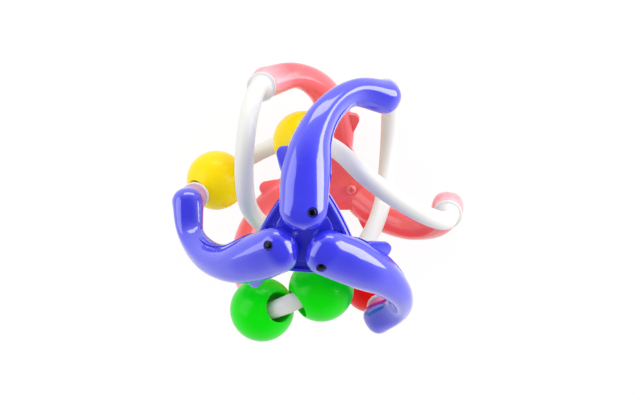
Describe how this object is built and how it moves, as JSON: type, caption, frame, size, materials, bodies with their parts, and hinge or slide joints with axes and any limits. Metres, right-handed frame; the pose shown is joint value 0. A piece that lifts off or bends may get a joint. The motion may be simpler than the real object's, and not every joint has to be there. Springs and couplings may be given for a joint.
{
  "type": "activity ball toy",
  "caption": "Openwork baby ball toy: dolphin-shaped shells joined tail to tail by bent tubes that carry loose sliding beads.",
  "frame": {"origin": "middle of the ball, halfway between the two hub plates", "axes": "+Z along the ball's main axis, out through the blue hub plate; +Y along the two-fold axis through the middle of the tube of the yellow beads; +X towards that tube's coral end"},
  "size_m": [0.1387, 0.126, 0.1342],
  "materials": {
    "blue_shell": "glossy moulded plastic, deep blue",
    "coral_shell": "glossy moulded plastic, coral pink",
    "tube": "glossy white plastic",
    "blue_collar": "satin mauve plastic, slightly see-through on the real toy",
    "coral_collar": "satin pink plastic, slightly see-through on the real toy",
    "yellow_bead": "glossy yellow plastic",
    "green_bead": "glossy green plastic",
    "red_bead": "glossy red plastic",
    "eye": "glossy black plastic",
    "screw": "plain zinc-plated steel"
  },
  "bodies": {
    "frame": {"blue_outer_shell": "blue_shell", "blue_inner_shell": "blue_shell", "coral_outer_shell": "coral_shell", "coral_inner_shell": "coral_shell", "yellow_bead_tube": "tube", "green_bead_tube": "tube", "red_bead_tube": "tube", "blue_eye_1": "eye", "blue_eye_2": "eye", "blue_eye_3": "eye", "blue_shell_screw_1": "screw", "blue_shell_screw_2": "screw", "blue_shell_screw_3": "screw", "blue_tail_collar_1": "blue_collar", "blue_tail_collar_2": "blue_collar", "blue_tail_collar_3": "blue_collar", "coral_eye_1": "eye", "coral_eye_2": "eye", "coral_eye_3": "eye", "coral_shell_screw_1": "screw", "coral_shell_screw_2": "screw", "coral_shell_screw_3": "screw", "coral_tail_collar_1": "coral_collar", "coral_tail_collar_2": "coral_collar", "coral_tail_collar_3": "coral_collar"},
    "green_bead_1": {"green_bead_1": "green_bead"},
    "green_bead_2": {"green_bead_2": "green_bead"},
    "red_bead_1": {"red_bead_1": "red_bead"},
    "red_bead_2": {"red_bead_2": "red_bead"},
    "yellow_bead_1": {"yellow_bead_1": "yellow_bead"},
    "yellow_bead_2": {"yellow_bead_2": "yellow_bead"}
  },
  "joints": [
    {"name": "yellow_bead_1_travel", "type": "hinge", "parent": "frame", "child": "yellow_bead_1", "pos_m": [-0.03657, 0.01281, -0.00636], "axis": [-0.5065, 0.8618, 0.0297], "range_deg": [-48, 4.5]},
    {"name": "yellow_bead_2_travel", "type": "hinge", "parent": "frame", "child": "yellow_bead_2", "pos_m": [0, -0.0717, 0], "axis": [-0.8161, 0, 0.5779], "range_deg": [-25, 5.5]},
    {"name": "green_bead_1_travel", "type": "hinge", "parent": "frame", "child": "green_bead_1", "pos_m": [-0.00719, -0.03808, 0.00636], "axis": [0.4931, -0.8695, -0.0297], "range_deg": [0, 20]},
    {"name": "green_bead_2_travel", "type": "hinge", "parent": "frame", "child": "green_bead_2", "pos_m": [-0.00719, -0.03808, 0.00636], "axis": [0.4931, -0.8695, -0.0297], "range_deg": [-21, 1]},
    {"name": "red_bead_1_travel", "type": "hinge", "parent": "frame", "child": "red_bead_1", "pos_m": [0.00719, -0.03808, -0.00636], "axis": [-0.4931, -0.8695, 0.0297], "range_deg": [-1, 4.5]},
    {"name": "red_bead_2_travel", "type": "hinge", "parent": "frame", "child": "red_bead_2", "pos_m": [0.00719, -0.03808, -0.00636], "axis": [-0.4931, -0.8695, 0.0297], "range_deg": [-35, 2]}
  ]
}
